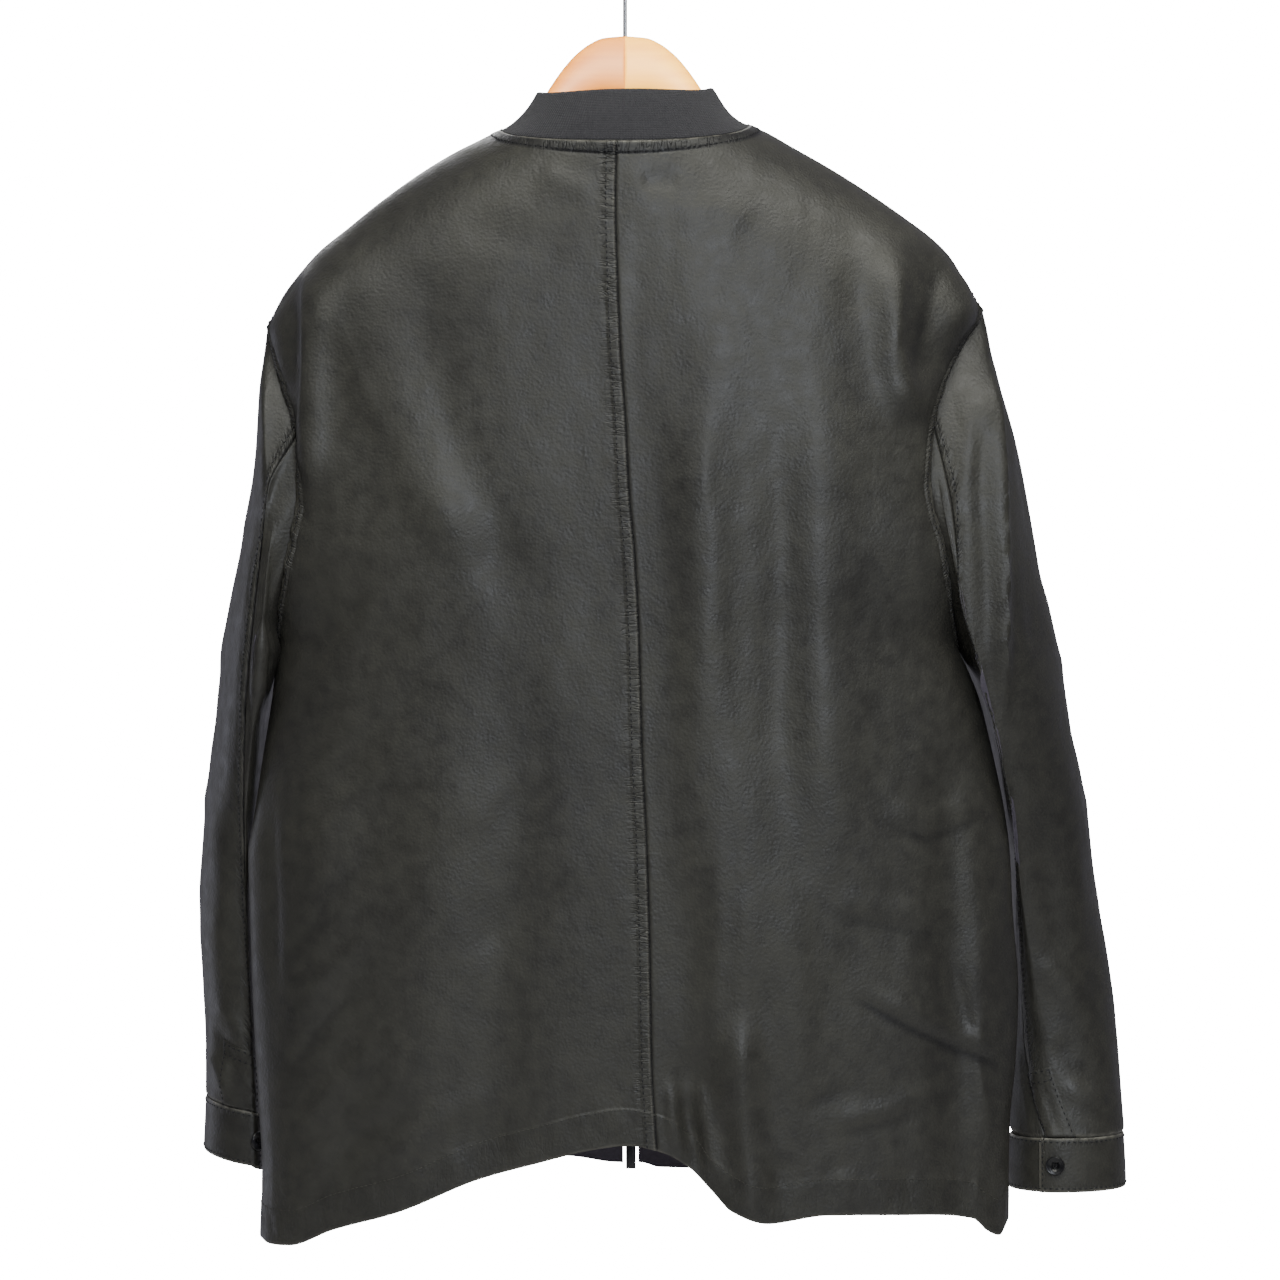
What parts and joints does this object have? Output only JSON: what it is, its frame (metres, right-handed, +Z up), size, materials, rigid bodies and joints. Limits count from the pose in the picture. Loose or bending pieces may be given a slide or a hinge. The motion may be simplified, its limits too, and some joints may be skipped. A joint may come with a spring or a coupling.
{
  "type": "leather jacket on a wooden hanger",
  "caption": "Thin leather jacket with a fine-rib band collar, two-piece sleeves, buttoned shirt cuffs and a closed front zip, hanging on a wooden hanger with a wire hook.",
  "frame": {"origin": "the point of the hanger's hook that bears on the rail, straight above the middle of the wood", "axes": "+Z up; the jacket's back faces -Y and its front +Y; the wearer's left arm is at -X"},
  "size_m": [0.6623, 0.1992, 0.9237],
  "materials": {
    "leather": "thin smooth dark olive-grey leather with a soft sheen",
    "rib_knit": "fine rib knit, matt",
    "zip_tape": "woven tape, matt",
    "zip_metal": "dark plated metal",
    "button": "near-black polished resin",
    "wood": "pale clear-lacquered wood, one half a little darker",
    "steel_wire": "bright plated wire"
  },
  "bodies": {
    "jacket": {"back_left": "leather", "back_right": "leather", "front_left": "leather", "front_right": "leather", "sleeve_upper_left": "leather", "sleeve_upper_right": "leather", "sleeve_under_left": "leather", "sleeve_under_right": "leather", "collar_rib": "rib_knit", "cuff_left": "leather", "cuff_right": "leather", "placket_left": "leather", "placket_right": "leather", "cuff_button_left": "button", "cuff_button_right": "button", "zip_tape_left": "zip_tape", "zip_tape_right": "zip_tape", "zip_chain": "zip_metal", "zip_box": "zip_metal", "zip_slider": "zip_metal", "hanger_left": "wood", "hanger_right": "wood", "hanger_hook": "steel_wire"},
    "pull_tab": {"zip_pull_tab": "zip_metal"}
  },
  "joints": [
    {"name": "pull_tab_hinge", "type": "hinge", "parent": "jacket", "child": "pull_tab", "pos_m": [0.00054, 0.06595, -0.2374], "axis": [1, 0, 0], "range_deg": [0, 170]}
  ]
}
